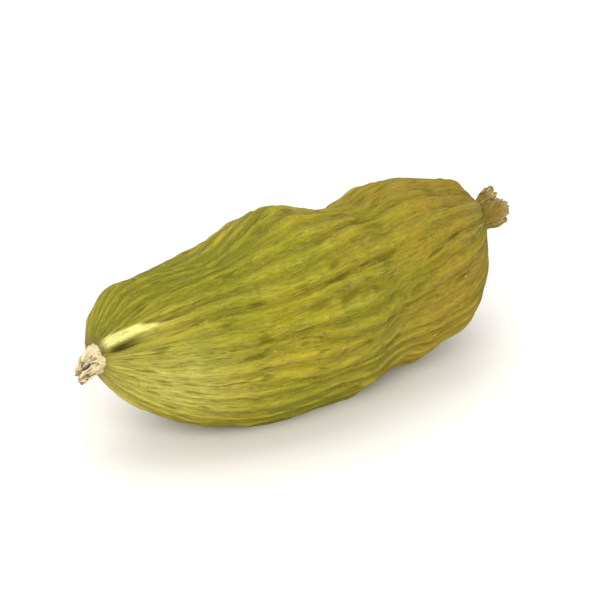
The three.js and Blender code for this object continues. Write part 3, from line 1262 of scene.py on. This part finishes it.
@dataclass
class FlowerRest(PodPiece):
    """The dried rest of the flower: a tuft of thin crumpled flakes that closes to a beak and droops."""

    finish: Finish = PaperyFinish()
    flakes: tuple[Flake, ...] = (
        Flake(-95, 62, 0.95, 0.50, 0.16, 0.10, 1),
        Flake(-28, 48, 0.84, 0.48, 0.26, -0.06, 2),
        Flake(35, 44, 0.62, 0.47, 0.12, 0.12, 3),
        Flake(98, 50, 0.74, 0.50, 0.30, 0.05, 4),
        Flake(160, 42, 0.58, 0.46, 0.14, -0.10, 5),
        Flake(215, 46, 0.80, 0.49, 0.20, 0.08, 6),
        Flake(-60, 70, 0.90, 0.32, 0.22, 0.12, 7),
        Flake(80, 66, 0.84, 0.30, 0.24, -0.10, 8),
        Flake(190, 60, 0.86, 0.28, 0.16, 0.10, 9),
    )
    root_at: float = 0.66
    droop: float = 0.34
    droop_towards: float = math.radians(-75)
    thickness: float = 0.035
    edge_power: float = 0.4
    side_power: float = 0.8
    waist: float = 0.18
    waist_turn: float = 2.2
    raggedness: float = 0.34
    torn: Mottle = Mottle(1.0, 9, 3, 90)
    torn_half_width: float = 0.4
    curl_turn: float = 3.0
    crumple: float = 0.075
    creases: tuple[Mottle, ...] = (Mottle(1.0, 4, 16, 60), Mottle(0.6, 8, 40, 70))
    crease_width: float = 1.2
    lean_power: float = 1.5
    belly: float = 0.05
    least_radius: float = 0.05
    grain_width: float = 60.0
    rows: int = 26
    half_ring: int = 20

    def one(self, flake: Flake) -> tuple[np.ndarray, np.ndarray, np.ndarray]:
        """One flake: a flat ring of points carried from its root to its torn tip, with a pole at each end.

        Its width follows the root of 1 minus t to the fourth, its radius falls by its lean, and noise
        crumples it more towards the tip.

        Args:
            flake: sizes of the flake.

        Returns:
            Points in millimetres, how far out each point is, and the grain it is coloured by.
        """
        t = np.linspace(0, 1, self.rows)[:, None]
        turn = TURN * (np.arange(2 * self.half_ring) + 0.5) / (2 * self.half_ring)
        across, side = np.cos(turn)[None, :], np.sin(turn)[None, :]
        across = np.sign(across) * np.abs(across) ** self.side_power
        taper = (1 - t**4) ** 0.5 * (1 - self.waist + self.waist * np.cos(self.waist_turn * t))
        torn = self.torn.reseeded(flake.seed).at(0.5 + self.torn_half_width * across, 0 * across)
        x = self.root_at - flake.length * (1 + self.raggedness * torn * t) * t
        angle = math.radians(flake.angle) + math.radians(flake.half_width) * across * taper
        angle = angle + flake.curl * self.curl_turn * t**2
        creases = tuple(crease.reseeded(flake.seed) for crease in self.creases)
        creased = add_up(creases, t + 0 * across, across * self.crease_width)
        radius = flake.root_radius - flake.lean * t**self.lean_power + flake.curl * t**2 * np.abs(across) ** 2
        radius = radius + self.crumple * np.sqrt(t) * creased + self.belly * np.sin(math.pi * t)
        wall = self.thickness / 2 * np.sign(side) * np.abs(side) ** self.edge_power
        points = self.shape.place(x, angle, np.maximum(radius, self.least_radius) + wall)
        fall = self.droop * t**2
        points[..., 1] -= fall * math.cos(self.droop_towards)
        points[..., 2] += fall * math.sin(self.droop_towards)
        grain_across = across * flake.half_width / self.grain_width
        grain = np.stack(np.broadcast_arrays(x, grain_across, 0 * x + flake.seed), axis=-1).reshape(-1, 3)
        poles = points[[0, -1]].mean(axis=1)
        points = np.concatenate([poles[:1], points.reshape(-1, 3), poles[1:]]) + self.shape.row_shift()
        out = np.repeat(t.ravel(), 2 * self.half_ring)
        return points, np.concatenate([[0.0], out, [1.0]]), np.concatenate([grain[:1], grain, grain[-1:]])

    def build(self) -> None:
        """Builds the flakes in one mesh."""
        made = [self.one(flake) for flake in self.flakes]
        skin = closed_skin(self.rows, 2 * self.half_ring)
        size = len(made[0][0])
        faces = np.concatenate([skin + size * n for n in range(len(made))])
        points, outness, grain = (np.concatenate(parts) for parts in zip(*made))
        self.piece = make_mesh("flower_rest", points, faces, {"outness": outness, "grain": grain})


@dataclass
class TornFibres(PodPiece):
    """Short torn strands round the rim of the stub and in its hollow."""

    finish: Finish = StrandFinish()
    outward_count: int = 30
    inward_count: int = 26
    sides: int = 6
    steps: int = 9
    thickness: float = 0.036
    thickness_range: Pair = (0.6, 1.2)
    reach: float = 0.36
    reach_range: Pair = (0.45, 1.0)
    stray: float = 0.12
    curl: float = 0.35
    slowing: float = 0.3
    root_back: float = 0.5
    root_clear: float = 0.06
    splay: float = 0.02
    splay_range: float = 0.09
    inward_reach: float = 1.7
    inward_lift: float = 0.02
    inward_radii: Pair = (0.06, 0.33)
    inward_splay: float = 0.06
    least_taper: float = 0.02
    seed: int = 77

    def strands(self, kind: Fibre, count: int, rng: np.random.Generator) -> tuple[np.ndarray, np.ndarray]:
        """Centre lines of the strands of one kind.

        Args:
            kind: which way they lie.
            count: how many.
            rng: seeded random numbers.

        Returns:
            Points of each centre line, and the strands' thicknesses.
        """
        s = self.shape
        t = np.linspace(0, 1, self.steps)[None, :]
        angle = (TURN * np.arange(count) / count + rng.uniform(-self.stray, self.stray, count))[:, None]
        length = rng.uniform(*self.reach_range, count)[:, None] * self.reach
        curl = rng.uniform(-self.curl, self.curl, count)[:, None]
        if kind is Fibre.OUTWARD:
            x = s.length - self.root_back + length * ((1 + self.slowing) * t - self.slowing * t**3)
            splay = self.splay * t + self.splay_range * rng.uniform(0, 1, count)[:, None] * t**2
            radius = (s.stub_radius + self.root_clear + splay) * (1 + self.oval(angle))
        else:
            x = s.length - s.hollow_depth + self.inward_lift + self.inward_reach * length * t
            radius = rng.uniform(*self.inward_radii, count)[:, None] + self.inward_splay * t
        line = s.place(x, angle + curl * t**2, radius) + s.row_shift()
        return line, rng.uniform(*self.thickness_range, count) * self.thickness

    def build(self) -> None:
        """Builds each strand as a tube: rings of a circle that shrinks towards the tip, closed by poles."""
        rng = np.random.default_rng(self.seed)
        groups = [
            self.strands(Fibre.OUTWARD, self.outward_count, rng),
            self.strands(Fibre.INWARD, self.inward_count, rng),
        ]
        lines = np.concatenate([line for line, _ in groups])
        thick = np.concatenate([width for _, width in groups])
        count = len(lines)
        along = np.gradient(lines, axis=1)
        along /= np.linalg.norm(along, axis=-1, keepdims=True)
        side = np.cross(along, np.array([0.0, 0.0, 1.0]))
        side /= np.linalg.norm(side, axis=-1, keepdims=True)
        up = np.cross(side, along)
        t = np.linspace(0, 1, self.steps)
        taper = np.sqrt(np.clip(1 - t**3, self.least_taper, 1))
        ring = TURN * np.arange(self.sides) / self.sides
        radius = (thick[:, None] * taper[None, :])[:, :, None, None] / 2
        circle = side[:, :, None, :] * np.cos(ring)[:, None] + up[:, :, None, :] * np.sin(ring)[:, None]
        rings = (lines[:, :, None, :] + radius * circle).reshape(count, -1, 3)
        points = np.concatenate([lines[:, :1], rings, lines[:, -1:]], axis=1)
        one = closed_skin(self.steps, self.sides)
        faces = (one[None, :, :] + (np.arange(count) * points.shape[1])[:, None, None]).reshape(-1, 4)
        outness = np.concatenate([[0.0], np.repeat(t, self.sides), [1.0]])
        fields = {"outness": np.tile(outness, count), "grain": points.reshape(-1, 3)}
        self.piece = make_mesh("torn_fibres", points.reshape(-1, 3), faces, fields)


# Studio


@dataclass(frozen=True)
class Lamp:
    """A square area light: where it stands and its side in metres, its power in watts, its colour."""

    name: str
    place: tuple[float, float, float]
    size: float
    power: float
    colour: Colour


@dataclass
class Studio:
    """Pale floor, soft light from the upper left and a camera where the photograph's stood."""

    floor_half: float = 3.0
    floor: Finish = Finish(name="pale_floor", ground=(0.90, 0.885, 0.865), roughness=0.6, specular=0.2)
    world_colour: Colour = (1.0, 0.99, 0.975)
    world_strength: float = 0.70
    lamps: tuple[Lamp, ...] = (
        Lamp("key_light", (-0.24, -0.27, 0.24), 0.30, 1.45, (1.0, 0.99, 0.975)),
        Lamp("fill_light", (0.02, 0.12, 0.42), 0.40, 0.899, (1.0, 0.99, 0.98)),
    )
    camera_azimuth: float = math.radians(-37)
    camera_elevation: float = math.radians(28)
    camera_distance: float = 0.40
    lens: float = 720.0
    sensor: float = 36.0
    clip: Pair = (0.01, 20.0)
    aim: Vector = Vector((0.0, 0.0, 0.0033)).freeze()

    def build(self) -> None:
        """Builds floor, world, lights and camera."""
        self._floor()
        self._world()
        for lamp in self.lamps:
            self._lamp(lamp)
        self._camera()
        bpy.context.scene.view_settings.view_transform = "Standard"

    def _floor(self) -> None:
        """A flat pale floor under the pod."""
        h = self.floor_half / MM
        corners = np.array([[-h, -h, 0], [h, -h, 0], [h, h, 0], [-h, h, 0]], float)
        floor = make_mesh("floor", corners, np.array([[0, 1, 2, 3]]), {})
        floor.data.materials.append(self.floor.material())

    def _world(self) -> None:
        """An even near-white surround."""
        world = bpy.data.worlds.new("studio")
        world.use_nodes = True
        background = world.node_tree.nodes["Background"]
        background.inputs["Color"].default_value = (*self.world_colour, 1.0)
        background.inputs["Strength"].default_value = self.world_strength
        bpy.context.scene.world = world

    def _look(self, name: str, data: bpy.types.ID, place: Vector) -> bpy.types.Object:
        """Puts a lamp or camera at a place, aimed at the pod.

        Args:
            name: name of the object.
            data: the lamp or camera.
            place: where it stands, in metres.

        Returns:
            The linked object.
        """
        thing = bpy.data.objects.new(name, data)
        thing.location = place
        thing.rotation_euler = (self.aim - place).to_track_quat("-Z", "Y").to_euler()
        bpy.context.scene.collection.objects.link(thing)
        return thing

    def _lamp(self, lamp: Lamp) -> None:
        """Sets up one lamp.

        Args:
            lamp: its sizes.
        """
        data = bpy.data.lights.new(lamp.name, "AREA")
        data.size, data.energy, data.color = lamp.size, lamp.power, lamp.colour
        self._look(lamp.name, data, Vector(lamp.place))

    def _camera(self) -> None:
        """A long lens at the photograph's own angles."""
        azimuth, elevation = self.camera_azimuth, self.camera_elevation
        flat = math.cos(elevation)
        back = Vector((math.sin(azimuth) * flat, -math.cos(azimuth) * flat, math.sin(elevation)))
        data = bpy.data.cameras.new("camera")
        data.lens, data.sensor_width = self.lens, self.sensor
        data.clip_start, data.clip_end = self.clip
        camera = self._look("camera", data, self.aim + back * self.camera_distance)
        bpy.context.scene.camera = camera


def main() -> None:
    """Builds the pod's pieces and the studio in order."""
    logging.basicConfig(level=logging.INFO, format="%(name)s: %(message)s")
    shape = PodShape()
    for maker in (Husk(shape), FlowerRest(shape), TornFibres(shape)):
        maker.build()
        maker.dress()
        LOG.info("%s built with %d faces", maker.piece.name, len(maker.piece.data.polygons))
    Studio().build()
    LOG.info("studio built")


if __name__ == "__main__":
    main()
